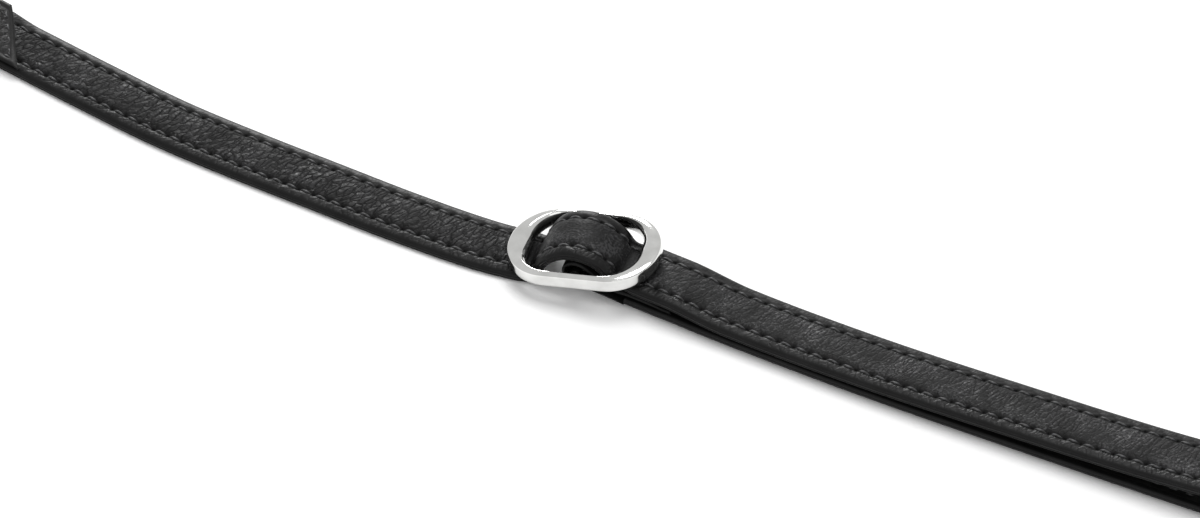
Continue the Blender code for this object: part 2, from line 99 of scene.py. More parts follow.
ARM_LENGTH, ARM_TURN_BACK = 150 * MM, 35 * MM
ARM_SPLAY, ARM_GAP = 17.0, 0.6 * MM
RING_DIAMETER, RING_WIRE, RING_PLAY = 45 * MM, 4 * MM, 1.0 * MM

# The strap's line seen from above, in millimetres, with the slide's bar at the origin.
PLAN = (
    (-226, 10.5), (-190, 5.2), (-160, 1.6), (-136, -1.4), (-113, -3.9), (-91, -4.7), (-69, -4.9),
    (-47, -5.0), (-26, -4.2), (-12, -2.2), (0, 0), (12, 1.9), (22, 2.1), (40, 1.7), (77, 2.0),
    (122, 3.8), (161, 5.7), (200, 8.2), (240, 11.4),
)

low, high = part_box("slide_bar")
BAR = (Vector(low) + Vector(high)) / 2
GROUND = np.array([BAR.x, BAR.y])
HALF = STRAP_THICK / 2
WINDOW = SLIDE_LENGTH / 2 - SLIDE_END
COVERED = STRAP_END - COVER_BASE


# ---------------------------------------------------------------- smooth lines


def spot(x, y):
    return np.array([x, y], float)


def curve_through(points, step=0.4 * MM):
    """Close points of a smooth curve through the chosen ones."""
    spaced = [points[0] * 2 - points[1], *points, points[-1] * 2 - points[-2]]
    found = []
    for before, start, end, after in zip(spaced, spaced[1:], spaced[2:], spaced[3:]):
        span = np.linalg.norm(end - start)
        slope_in = (end - before) * span / max(np.linalg.norm(end - before), 1e-9)
        slope_out = (after - start) * span / max(np.linalg.norm(after - start), 1e-9)
        for t in np.arange(max(2, round(span / step))) / max(2, round(span / step)):
            found.append(
                start * (2 * t**3 - 3 * t**2 + 1)
                + slope_in * (t**3 - 2 * t**2 + t)
                + end * (3 * t**2 - 2 * t**3)
                + slope_out * (t**3 - t**2)
            )
    return np.array([*found, points[-1]])


def arc(centre, radius, start, end, step=7.5):
    angles = np.radians(np.linspace(start, end, max(2, math.ceil(abs(end - start) / step)) + 1))
    return [centre + radius * spot(math.cos(a), math.sin(a)) for a in angles]


def bend_down(start, slope, level, radius):
    """The rounded corner where a line that runs down at this slope, in degrees, levels out."""
    angle = math.radians(slope)
    run = (start[1] - level - radius * (1 - math.cos(angle))) / math.sin(angle)
    corner = start + run * spot(math.cos(angle), -math.sin(angle))
    centre = corner + radius * spot(math.sin(angle), math.cos(angle))
    return arc(centre, radius, -90 - slope, -90)


def mirrored(points):
    return [spot(-point[0], point[1]) for point in reversed(points)]


class Line:
    """A smooth line in a plane, read by the distance along it. It runs straight on past its ends."""

    def __init__(self, points, counted_from=None, reading=0.0, lowest=None):
        points = curve_through(points)
        if lowest is not None:
            points[:, 1] = np.maximum(points[:, 1], lowest)
        self.points = points
        steps = np.linalg.norm(np.diff(points, axis=0), axis=1)
        self.at = np.concatenate([[0], np.cumsum(steps)])
        run = np.gradient(points, axis=0)
        self.run = run / np.linalg.norm(run, axis=1)[:, None]
        if counted_from is not None:
            self.at += reading - self.nearest(counted_from)

    def read(self, distance):
        inside = np.clip(distance, self.at[0], self.at[-1])
        point = np.stack([np.interp(inside, self.at, self.points[:, n]) for n in (0, 1)], -1)
        run = np.stack([np.interp(inside, self.at, self.run[:, n]) for n in (0, 1)], -1)
        run /= np.linalg.norm(run, axis=-1, keepdims=True)
        return point + (distance - inside)[..., None] * run, run

    def nearest(self, point, low=-math.inf):
        far = np.linalg.norm(self.points - point, axis=1)
        far[self.at < low] = math.inf
        return self.at[int(np.argmin(far))]


class Strap:
    """A strap's route: its line seen from above, and its height along that line."""

    def __init__(self, plan, side, pinched=()):
        self.plan, self.side, self.pinched = plan, side, pinched

    def place(self, along, across, up):
        """Where points of the straight strap lie on the route. Up is counted from mid-thickness."""
        along, across, up = np.broadcast_arrays(*(np.asarray(v, float) for v in (along, across, up)))
        for place in self.pinched:
            outside = np.clip(np.abs(along - place) / PINCH_RUN, 0, 1)
            across = across * (1 - CORNER_PINCH / STRAP_WIDTH * (1 - outside**2 * (3 - 2 * outside)))
        middle, run = self.side.read(along)
        x = middle[..., 0] - up * run[..., 1]
        z = middle[..., 1] + up * run[..., 0]
        ground, heading = self.plan.read(x)
        return np.stack([
            ground[..., 0] - across * heading[..., 1], ground[..., 1] + across * heading[..., 0], z,
        ], -1)


# ---------------------------------------------------------------- routes


def tail_lift():
    under_bar = BAR.z - BAR_RADIUS - GAP - TAIL_THICK
    return STACK_LIFT + (under_bar - STACK_LIFT) * (1 - TAIL_START / WINDOW) * 0.85


def main_side():
    """The heights of the strap's middle, from the fork over the bar and round the girth loop to the tail."""
    raised = COVER_THICK + GAP + HALF
    bar = spot(0, BAR.z)
    over = BAR_RADIUS + GAP + TAIL_THICK + ARCH_CLEARANCE + HALF
    arch = arc(bar + spot(0, over - ARCH_RADIUS), ARCH_RADIUS, 90 + ENTRY_SLOPE, 90 - EXIT_SLOPE)
    bend = mirrored(bend_down(spot(-arch[0][0], arch[0][1]), ENTRY_SLOPE, HALF, ENTRY_RADIUS))
    stack = STACK_LIFT + STRAP_THICK + TAIL_THICK + 2 * GAP + HALF
    tail_top = STRAP_THICK + GAP + TAIL_THICK
    run = STRAP_THICK + RUN_GAP + HALF
    loop_radius = LOOP_HEIGHT / 2 - HALF
    top = LOOP_HEIGHT - HALF
    points = [
        spot(COVER_BASE - 20 * MM, raised),
        spot(BOTTOM_COVER_TIP - 10 * MM, raised),
        spot(BOTTOM_COVER_TIP + 3 * MM, raised),
        spot(BOTTOM_COVER_TIP + STRAP_RAMP + 3 * MM, HALF),
        spot(bend[0][0] - 20 * MM, HALF),
        *bend,
        *arch,
        *bend_down(arch[-1], EXIT_SLOPE, stack, EXIT_RADIUS),
        spot(WINDOW, stack),
        spot(WINDOW + 5 * MM, tail_top + GAP + HALF + 0.05 * MM),
        spot(TAIL_LENGTH, tail_top + GAP + HALF - 0.1 * MM),
        spot(40 * MM, run),
        spot(70 * MM, run),
        spot(110 * MM, run + 0.9 * MM),
        spot(LOOP_AT - 73 * MM, run + 2.3 * MM),
        spot(LOOP_AT - 38 * MM, top - 5.2 * MM),
        spot(LOOP_AT - 18 * MM, top - 1.9 * MM),
        *arc(spot(LOOP_AT, top - loop_radius), loop_radius, 90, -90),
        spot(LOOP_SPLIT, HALF),
        spot(60 * MM, HALF),
        spot(WINDOW + 9 * MM, HALF),
        spot(WINDOW, HALF + STACK_LIFT),
        spot(TAIL_START, HALF + tail_lift()),
        spot(TAIL_START - 5 * MM, HALF + 2 * tail_lift()),
    ]
    return Line(points, points[4], reading=points[4][0], lowest=HALF)


def tail_side():
    """The heights of the thin tail's middle: under the bar, round it, and back on top of the lower run."""
    thin = TAIL_THICK / 2
    folded = STRAP_THICK + GAP + thin
    wrap = arc(spot(0, BAR.z), BAR_RADIUS + GAP + thin, -106, -270 - TAIL_SLOPE)
    return Line([
        spot(WINDOW, thin + STACK_LIFT),
        spot(TAIL_START, thin + tail_lift()),
        *wrap,
        *bend_down(wrap[-1], TAIL_SLOPE, STACK_LIFT + folded, TAIL_BEND),
        spot(WINDOW, STACK_LIFT + folded),
        spot(WINDOW + 6 * MM, folded + 0.05 * MM),
        spot(TAIL_LENGTH, folded),
    ])


def arm_side():
    """The heights of an arm's middle: out of the fork, over its turned-back end, round the ring and back."""
    raised = COVER_THICK + GAP + HALF
    doubled = STRAP_THICK + GAP + HALF
    radius = RING_WIRE / 2 + RING_PLAY + HALF
    start = ARM_LENGTH - ARM_TURN_BACK
    return Line([
        spot(-5 * MM, raised),
        spot(COVERED * 0.6, raised),
        spot(COVERED + 3 * MM, raised),
        spot(COVERED + STRAP_RAMP + 3 * MM, HALF),
        spot(COVERED + 2 * STRAP_RAMP, HALF),
        spot(start - 20 * MM, HALF),
        spot(start - 3 * MM, doubled + 0.1 * MM),
        spot(ARM_LENGTH - 16 * MM, doubled + 0.2 * MM),
        *arc(spot(ARM_LENGTH, HALF + radius), radius, 90, -90),
        spot(ARM_LENGTH - 12 * MM, HALF),
        spot(start, HALF),
    ], lowest=HALF)


def arm_plan(fork, heading, side, bow):
    """An arm's line from above: beside its twin in the fork, then away from it in a loose bow."""
    across = spot(-heading[1], heading[0]) * side
    beside = (ARM_WIDTH + ARM_GAP) / 2
    splay = math.tan(math.radians(ARM_SPLAY))
    reach = ARM_LENGTH + RING_DIAMETER
    points = [
        (-5 * MM, beside), (COVERED * 0.35, beside + 0.1 * MM), (COVERED, beside + COVERED * splay * 0.42),
        (COVERED + 32 * MM, beside + (COVERED + 32 * MM) * splay),
        (COVERED + 70 * MM, beside + (COVERED + 70 * MM) * splay * bow),
        (reach, beside + reach * splay * bow * bow),
    ]
    return Line([fork + heading * a + across * b for a, b in points], fork + across * beside)


# ---------------------------------------------------------------- nodes and materials


def hex_colour(code):
    """A linear colour from an sRGB hex value."""
    parts = [int(code[n:n + 2], 16) / 255 for n in (0, 2, 4)]
    return [c / 12.92 if c <= 0.04045 else ((c + 0.055) / 1.055) ** 2.4 for c in parts] + [1.0]


def add(tree, kind, inputs=(), **settings):
    """Adds a node with its settings, and sets or links each of its inputs."""
    made = tree.nodes.new("ShaderNode" + kind)
    for name, value in settings.items():
        setattr(made, name, value)
    for key, value in dict(inputs).items():
        if isinstance(value, bpy.types.NodeSocket):
            tree.links.new(value, made.inputs[key])
        else:
            made.inputs[key].default_value = value
    return made


def finish_of(name, **sockets):
    made = bpy.data.materials.new(name)
    made.use_nodes = True
    tree = made.node_tree
    shader = tree.nodes["Principled BSDF"]
    for key, value in sockets.items():
        shader.inputs[key.replace("_", " ")].default_value = value
    return made, tree, shader


def curve_ramp(tree, factor, stops):
    ramp = add(tree, "ValToRGB", {"Fac": factor})
    while len(ramp.color_ramp.elements) < len(stops):
        ramp.color_ramp.elements.new(0.5)
    for element, (place, value) in zip(ramp.color_ramp.elements, stops):
        element.position = place
        element.color = hex_colour(value) if isinstance(value, str) else (value, value, value, 1)
    return ramp.outputs["Color"]


UV_UNIT_MM = 100  # millimetres of leather in one UV unit


def strap_leather():
    """Drum-dyed calf leather, tumbled soft: a network of creases across the strap between the stitch
    rows, pressed smooth and a little shinier on the turned edges."""
    made, tree, shader = finish_of("drum_dyed_calf_leather", IOR=1.5, Specular_IOR_Level=0.17)
    uv = add(tree, "UVMap", uv_map="leather").outputs["UV"]
    panel = add(tree, "Attribute", attribute_name="panel").outputs["Fac"]
    crease = add(tree, "Attribute", attribute_name="crease").outputs["Fac"]
    dip = add(tree, "Attribute", attribute_name="dip").outputs["Fac"]
    # The grain wanders by about 1 mm, so that no crease runs straight.
    drift = add(tree, "TexNoise", {"Vector": uv, "Scale": UV_UNIT_MM / 2.2, "Detail": 2.0}).outputs["Color"]
    wander = add(tree, "VectorMath", {0: drift, 1: (0.012, 0.012, 0.0)}, operation="MULTIPLY").outputs[0]
    bent = add(tree, "VectorMath", {0: uv, 1: wander}, operation="ADD").outputs[0]
    turned = add(tree, "Mapping", {"Vector": bent, "Rotation": (0, 0, 0.37)}).outputs["Vector"]
    leaning = add(tree, "Mapping", {"Vector": turned, "Scale": (1.0, 0.34, 1.0)})
    # Creased plates about 1.3 mm wide and three times as long, lying aslant across the strap.
    plates = add(tree, "TexVoronoi", {"Vector": leaning.outputs["Vector"], "Scale": UV_UNIT_MM / 1.3},
                 feature="DISTANCE_TO_EDGE").outputs["Distance"]
    ridges = curve_ramp(tree, plates, ((0.0, 0.0), (0.09, 0.45), (0.3, 0.9), (0.6, 1.0)))
    # Grain pores about 0.5 mm across.
    pores = add(tree, "TexVoronoi", {"Vector": bent, "Scale": UV_UNIT_MM / 0.5}, feature="SMOOTH_F1")
    # Lighter flecks about 0.6 mm across, in patches about 8 mm across. The patches are tone that differs at
    # random. The flecks are painted glints, lighter in colour and glossier.
    patches = add(tree, "TexNoise", {"Vector": uv, "Scale": UV_UNIT_MM / 8, "Detail": 3.0}).outputs["Fac"]
    flecks = add(tree, "TexNoise", {"Vector": bent, "Scale": UV_UNIT_MM / 0.6, "Detail": 2.0}).outputs["Fac"]
    patchy_fleck_glints = add(tree, "Math", {0: flecks, 1: patches}, operation="MULTIPLY").outputs[0]
    middle = curve_ramp(tree, patchy_fleck_glints, ((0.16, "080808"), (0.28, "101011"), (0.36, "303031")))
    # Painted shade: the crease valleys, where the ridges fall to nothing, are painted near black, more so
    # where the crease attribute is high.
    valley = add(tree, "Mix", {"Factor": ridges, 6: hex_colour("060606"), 7: middle}, data_type="RGBA")
    tone = add(tree, "Mix", {"Factor": crease, 6: middle, 7: valley.outputs[2]}, data_type="RGBA").outputs[2]
    edge = curve_ramp(tree, patches, ((0.3, "0a0a0a"), (0.7, "131313")))
    colour = add(tree, "Mix", {"Factor": panel, 6: edge, 7: tone}, data_type="RGBA").outputs[2]
    # Painted shade: the sunk stitch holes, marked by the dip attribute, are painted near black.
    dark = add(tree, "Mix", {"Factor": dip, 6: colour, 7: hex_colour("020202")}, data_type="RGBA")
    tree.links.new(dark.outputs[2], shader.inputs["Base Color"])
    gloss = add(tree, "MapRange", {"Value": patchy_fleck_glints, "From Min": 0.15, "From Max": 0.4,
                                   "To Min": 0.62, "To Max": 0.36}).outputs[0]
    smoothed = add(tree, "Mix", {"Factor": panel, 2: 0.4, 3: gloss}, data_type="FLOAT").outputs[0]
    rough = add(tree, "Math", {0: smoothed, 1: dip}, operation="MAXIMUM").outputs[0]
    tree.links.new(rough, shader.inputs["Roughness"])
    folds = add(tree, "Bump", {"Height": ridges, "Strength": crease, "Distance": 0.3 * MM})
    depth = add(tree, "MapRange", {"Value": panel, "To Min": 0.15, "To Max": 0.55}).outputs[0]
    grain = add(tree, "Bump", {"Height": pores.outputs["Distance"], "Strength": depth, "Distance": 0.15 * MM,
                               "Normal": folds.outputs["Normal"]})
    tree.links.new(grain.outputs["Normal"], shader.inputs["Normal"])
    return made


def lining_leather():
    """Lining leather, waxed and glazed flat: almost no grain, darker and glossier than the face."""
    made, tree, shader = finish_of("glazed_lining_leather", IOR=1.5, Specular_IOR_Level=0.3)
    uv = add(tree, "UVMap", uv_map="leather").outputs["UV"]
    cloud = add(tree, "TexNoise", {"Vector": uv, "Scale": UV_UNIT_MM / 6, "Detail": 3.0}).outputs["Fac"]
    tree.links.new(curve_ramp(tree, cloud, ((0.3, "0c0c0b"), (0.7, "161615"))), shader.inputs["Base Color"])
    pores = add(tree, "TexNoise", {"Vector": uv, "Scale": UV_UNIT_MM / 0.4, "Detail": 2.0}).outputs["Fac"]
    rough = add(tree, "MapRange", {"Value": cloud, "To Min": 0.3, "To Max": 0.48}).outputs[0]
    tree.links.new(rough, shader.inputs["Roughness"])
    grain = add(tree, "Bump", {"Height": pores, "Strength": 0.15, "Distance": 0.08 * MM})
    tree.links.new(grain.outputs["Normal"], shader.inputs["Normal"])
    return made


def sewing_thread():
    """Bonded polyester thread, twisted and waxed: a fine rope with a dull shine."""
    made, tree, shader = finish_of("waxed_polyester_thread", IOR=1.5)
    uv = add(tree, "UVMap", uv_map="leather").outputs["UV"]
    # Twists 0.55 mm apart, drawn coarse enough to show.
    leaning = add(tree, "Mapping", {"Vector": uv, "Rotation": (0, 0, 0.9)})
    twist = add(tree, "TexWave", {"Vector": leaning.outputs["Vector"], "Scale": UV_UNIT_MM / 0.55 / 6.28,
                                  "Distortion": 0.0}, wave_type="BANDS").outputs["Fac"]
    # Painted shade and highlight: the grooves between the twists are painted dark and their crowns light,
    # following the same bands as the bump.
    tree.links.new(curve_ramp(tree, twist, ((0.1, "090909"), (0.8, "303032"))), shader.inputs["Base Color"])
    shader.inputs["Roughness"].default_value = 0.5
    grain = add(tree, "Bump", {"Height": twist, "Strength": 0.6, "Distance": 0.15 * MM})
    tree.links.new(grain.outputs["Normal"], shader.inputs["Normal"])
    return made


def polished_chrome():
    """Chromium plate over polished brass: a mirror with a faint polishing haze."""
    made, tree, shader = finish_of("polished_chrome_plate", Metallic=1.0)
    place = add(tree, "TexCoord").outputs["Object"]
    haze = add(tree, "TexNoise", {"Vector": place, "Scale": 260.0, "Detail": 3.0}).outputs["Fac"]
    tree.links.new(curve_ramp(tree, haze, ((0.3, "d0d0ce"), (0.7, "dededc"))), shader.inputs["Base Color"])
    rough = add(tree, "MapRange", {"Value": haze, "To Min": 0.05, "To Max": 0.12}).outputs[0]
    tree.links.new(rough, shader.inputs["Roughness"])
    # Polishing waves, about 1.5 mm long and too shallow to see but in the reflections.
    wave = add(tree, "TexNoise", {"Vector": place, "Scale": 650.0, "Detail": 1.0}).outputs["Fac"]
    grain = add(tree, "Bump", {"Height": wave, "Strength": 0.04, "Distance": 0.1 * MM})
    tree.links.new(grain.outputs["Normal"], shader.inputs["Normal"])
    return made


FACE, LINED, THREAD, CHROME = strap_leather(), lining_leather(), sewing_thread(), polished_chrome()


# ---------------------------------------------------------------- making pieces


def named(name, finish):
    piece = bpy.context.object
    piece.name = piece.data.name = name
    piece.data.materials.clear()
    piece.data.materials.append(finish)
    return piece


def points_of(piece):
    found = np.empty(len(piece.data.vertices) * 3)
    piece.data.vertices.foreach_get("co", found)
    return found.reshape(-1, 3)


def set_points(piece, points):
    piece.data.vertices.foreach_set("co", np.asarray(points, float).ravel())
    piece.data.update()


def set_attribute(piece, name, values):
    piece.data.attributes.new(name, "FLOAT", "POINT").data.foreach_set("value", np.asarray(values, float))


def set_uv(piece, along, across):
    """The leather's own flat coordinates, as the map that its patterns follow."""
    loops = np.empty(len(piece.data.loops), int)
    piece.data.loops.foreach_get("vertex_index", loops)
    for old in list(piece.data.uv_layers):
        piece.data.uv_layers.remove(old)
    flat = np.stack([along[loops], across[loops]], -1) / (UV_UNIT_MM * MM)
    piece.data.uv_layers.new(name="leather").data.foreach_set("uv", flat.ravel())


def flat_grid(name, finish, columns, rows):
    """A grid primitive, and how far each of its points is along and across it, from 0 to 1."""
    bpy.ops.object.select_all(action="DESELECT")
    bpy.ops.mesh.primitive_grid_add(x_subdivisions=columns, y_subdivisions=rows, size=2)
    piece = named(name, finish)
    shares = (points_of(piece)[:, :2] + 1) / 2
    return piece, shares[:, 0], shares[:, 1]


def apply(piece, kind, **settings):
    """Adds a modifier with its settings and applies it."""
    bpy.ops.object.select_all(action="DESELECT")
    piece.select_set(True)
    bpy.context.view_layer.objects.active = piece
    modifier = piece.modifiers.new(kind, kind)
    for name, value in settings.items():
        setattr(modifier, name, value)
    bpy.ops.object.modifier_apply(modifier=modifier.name)


def smooth(piece, angle=50):
    bpy.ops.object.select_all(action="DESELECT")
    piece.select_set(True)
    bpy.context.view_layer.objects.active = piece
    bpy.ops.object.shade_smooth_by_angle(angle=math.radians(angle))


def ripples(along, across, seed, shortest, longest, lean, count=9):
    """Shallow waves across the strap, of mixed lengths and leans, from about -1 to 1, with sharp valleys."""
    chance = np.random.RandomState(seed)
    total = np.zeros_like(along)
    for _ in range(count):
        length = chance.uniform(shortest, longest)
        slant = lean + chance.uniform(-0.5, 0.5)
        phase = chance.uniform(0, 2 * math.pi)
        bowed = along + across * slant + 0.7 * MM * np.sin(across / (1.7 * MM) + along / (3 * MM) + phase)
        total += 1 - 2 * (1 - np.abs(np.sin(math.pi * bowed / length + phase))) ** 2
    return (total - total.mean()) / math.sqrt(count)


def face_profile(width):
    """The face leather across the strap, from one turned edge's end to the other's, as (across, up).
    Its side has two creases: one where the leather is turned, and one where it meets the lining."""
    half = width / 2
    inset = (
        (1.5, -1.27), (0.7, -1.3), (0.25, -1.16), (0.06, -0.9), (0.03, -0.66), (0.2, -0.52), (0.02, -0.4),
        (0.0, -0.12), (0.02, 0.06), (0.18, 0.16), (0.12, 0.3), (0.26, 0.54), (0.6, 0.82), (1.2, 1.02),
        (2.0, 1.14), (2.6, 1.14), (2.95, 1.04), (3.2, 0.94), (3.45, 1.06),
        (3.8, 1.24), (4.4, 1.38), (5.2, 1.45),
    )
    side = [(half - a * MM, u * MM) for a, u in inset]
    middle = [(0.0, 1.5 * MM)] if half < 6.5 * MM else [(1.5 * MM, 1.49 * MM), (0.0, 1.5 * MM)]
    right = side + middle
    return np.array([(-a, u) for a, u in right[:-1]] + [(a, u) for a, u in reversed(right)])


def stitch_phase(along):
    """How far a place is from the nearest needle hole, in metres."""
    return np.abs((along / STITCH_PITCH - 0.5) % 1 - 0.5) * STITCH_PITCH


def face_piece(name, strap, start, end, width, seed, roughness=1.0, step=0.55 * MM):
    """The face leather, edges turned down, creased between the stitch rows and puckered by the stitches."""
    profile = face_profile(width)
    rows = len(profile) - 1
    columns = max(8, round((end - start) / step))
    piece, along_share, across_share = flat_grid(name, FACE, columns, rows)
    along = start + (end - start) * along_share
    place = np.rint(across_share * rows).astype(int)
    across, up = profile[place, 0], profile[place, 1]
    row = width / 2 - ROW_INSET
    from_row = np.abs(np.abs(across) - row)
    panel = np.clip((row - 0.2 * MM - np.abs(across)) / (0.5 * MM), 0, 1)
    hole = np.exp(-(stitch_phase(along) / (0.6 * MM)) ** 2)
    sunk = hole * np.exp(-(from_row / (0.6 * MM)) ** 2)
    pucker = np.cos(2 * math.pi * along / STITCH_PITCH) * np.exp(-(from_row / (1.6 * MM)) ** 2)
    patchy = 0.55 + 0.45 * np.sin(along / (11 * MM) + seed) * np.sin(along / (4.3 * MM) + across / (5 * MM))
    creased = panel * roughness * patchy * ripples(along, across, seed, 1.9 * MM, 4.5 * MM, -0.4)
    top = up > 0.9 * MM
    edge_wave = (1 - panel) * top * ripples(along, across, seed + 7, 5 * MM, 14 * MM, 0.1)
    up = up - 0.35 * MM * sunk - 0.05 * MM * pucker * top + 0.09 * MM * creased + 0.02 * MM * edge_wave
    set_points(piece, strap.place(along, across, up))
    set_attribute(piece, "panel", panel)
    margin = np.where(across < 0, 0.4, 0.1) * (1 - panel) * top
    # The crease attribute sets the fold bump and how dark the crease valleys are painted as shade. The dip
    # attribute marks the stitch holes that are painted near black as shade.
    set_attribute(piece, "crease", np.clip(panel * roughness * (0.6 + 0.4 * patchy) + margin, 0, 1))
    set_attribute(piece, "dip", np.clip(1.3 * sunk, 0, 1))
    set_uv(piece, along, across)
    apply(piece, "SOLIDIFY", thickness=LEATHER_THICK, offset=-1.0, use_even_offset=False)
    smooth(piece, 60)
    return piece


def lining_piece(name, strap, start, end, width, step=1.0 * MM):
    """The lining, let in between the turned edges, its own edges pressed down."""
    half = width / 2 - 1.55 * MM
    shares = np.array([-1, -0.97, -0.88, -0.6, -0.3, 0, 0.3, 0.6, 0.88, 0.97, 1])
    columns = max(6, round((end - start) / step))
    piece, along_share, across_share = flat_grid(name, LINED, columns, len(shares) - 1)
    along = start + (end - start) * along_share
    across = half * shares[np.rint(across_share * (len(shares) - 1)).astype(int)]
    row = width / 2 - ROW_INSET
    sunk = np.exp(-((np.abs(across) - row) / (0.7 * MM)) ** 2) * 0.06 * MM
    under = -HALF + 0.02 * MM + sunk + 0.12 * MM * (np.abs(across) > half * 0.985)
    set_points(piece, strap.place(along, across, under + LEATHER_THICK * 0.9))
    set_uv(piece, along, across)
    apply(piece, "SOLIDIFY", thickness=LEATHER_THICK * 0.9, offset=-1.0)
    smooth(piece, 60)
    return piece


def stitch_form():
    """One stitch, modelled once: a stretched ball whose ends dive into their holes."""
    bpy.ops.object.select_all(action="DESELECT")
    bpy.ops.mesh.primitive_uv_sphere_add(segments=7, ring_count=6, radius=1)
    ball = bpy.context.object
    points = points_of(ball)
    faces = [list(face.vertices) for face in ball.data.polygons]
    bpy.data.objects.remove(ball)
    along = points[:, 2] * STITCH_LENGTH / 2
    dive = -0.5 * MM * np.abs(points[:, 2]) ** 3
    return along, points[:, 1] * THREAD_RADIUS, points[:, 0] * THREAD_RADIUS * 0.8 + dive, faces


STITCH = stitch_form()


def stitched(name, strap, rows, heights):
    """Stitches along rows, each a list of (along, across) places of its stitches' middles."""
    along, across, up, faces = STITCH
    points, flat, all_faces = [], [], []
    for (places, lean), height in zip(rows, heights):
        for middle_along, middle_across in places:
            direction = 1 if height > 0 else -1
            turned_along = along * math.cos(lean) - across * math.sin(lean)
            turned_across = along * math.sin(lean) + across * math.cos(lean)
            start = sum(len(p) for p in points)
            points.append(strap.place(middle_along + turned_along, middle_across + turned_across,
                                      height + direction * up))
            flat.append(np.stack([middle_along + along, middle_across + across], -1))
            all_faces += [[start + v for v in face] for face in faces]
    mesh = bpy.data.meshes.new(name)
    mesh.from_pydata(np.concatenate(points).tolist(), [], all_faces)
    piece = bpy.data.objects.new(name, mesh)
    bpy.context.scene.collection.objects.link(piece)
    mesh.materials.append(THREAD)
    flat = np.concatenate(flat)
    set_uv(piece, flat[:, 0], flat[:, 1])
    bpy.ops.object.select_all(action="DESELECT")
    piece.select_set(True)
    bpy.context.view_layer.objects.active = piece
    bpy.ops.object.mode_set(mode="EDIT")
    bpy.ops.mesh.select_all(action="SELECT")
    bpy.ops.mesh.normals_make_consistent(inside=False)
    bpy.ops.object.mode_set(mode="OBJECT")
    bpy.ops.object.shade_smooth()
    return piece


def edge_rows(start, end, width, both_sides=True):
    """The two rows of stitches along a strap, on its face and, if asked, its lining."""
    first = math.ceil(start / STITCH_PITCH - 0.5) + 0.5
    places = [n * STITCH_PITCH for n in np.arange(first, end / STITCH_PITCH, 1.0)]
    rows, heights = [], []
    for side in (-1, 1):
        across = side * (width / 2 - ROW_INSET)
        line = [(place, across) for place in places]
        rows.append((line, 0.0))
        heights.append(THREAD_HEIGHT)
        if both_sides:
            rows.append((line, 0.0))
            heights.append(-HALF + 0.02 * MM)
    return rows, heights


# ---------------------------------------------------------------- the strap


PLAN_LINE = Line([spot(x, y) * MM for x, y in PLAN], spot(0, 0))
PLAN_LINE.points += GROUND
SIDE = main_side()
OVER_LOOP = SIDE.nearest(spot(0, LOOP_HEIGHT))
CORNER = WINDOW - WINDOW_CORNER / 3
STRAP = Strap(PLAN_LINE, SIDE, (
    SIDE.nearest(spot(-CORNER, STRAP_THICK)), SIDE.nearest(spot(CORNER, BAR.z), OVER_LOOP),
))


def cross(piece, start, end):
    """Bakes a piece's placement into its mesh. The places at the two distances along the strap are found but
    not used.
    """
    tuple(STRAP.place(start, 0, 0))
    tuple(STRAP.place(end, 0, 0))
    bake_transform(piece)


def strap_run(run, start, end, seed, nodes, fasten, roughness=1.0):
    """One run of the strap: its face, lining and thread, made in place of the model's parts for it, which it
    hides.
    """
    face = face_piece(f"{run}_face_leather", STRAP, start, end, STRAP_WIDTH, seed, roughness)
    lining = lining_piece(f"{run}_lining_leather", STRAP, start, end, STRAP_WIDTH)
    thread = stitched(f"{run}_thread", STRAP, *edge_rows(start, end, STRAP_WIDTH))
    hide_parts(f"face_{nodes}", f"core_{nodes}")
    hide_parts(f"lining_{nodes}")
    for piece in (face, lining, thread):
        fasten(piece)


def chest_strap():
    under_left = SIDE.nearest(spot(-UNDER_SLIDE, 0))
    under_right = SIDE.nearest(spot(UNDER_SLIDE, LOOP_HEIGHT / 2), OVER_LOOP)
    loop_start = SIDE.nearest(spot(LOOP_SPLIT, LOOP_HEIGHT), OVER_LOOP)
    bight = SIDE.nearest(spot(LOOP_AT + LOOP_HEIGHT, LOOP_HEIGHT / 2))
    loop_end = SIDE.nearest(spot(LOOP_SPLIT, 0), bight)
    tail = SIDE.nearest(spot(TAIL_START, 0), bight)
    strap_run("left_run", STRAP_END, under_left, 3, "left_run",
              lambda piece: cross(piece, -150 * MM, -24 * MM), 1.1)
    strap_run("arch", under_left, under_right, 5, "arch", lambda piece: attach(piece, "slide_tail"), 0.12)
    strap_run("upper_run", under_right, loop_start, 11, "upper_run",
              lambda piece: cross(piece, under_right + 15 * MM, loop_start), 0.45)
    strap_run("loop_end", loop_start, loop_end, 17, "loop_end", lambda piece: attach(piece, "loop_end"), 0.6)
    strap_run("lower_run", loop_end, tail, 23, "lower_run",
              lambda piece: cross(piece, tail - 15 * MM, loop_end), 0.3)


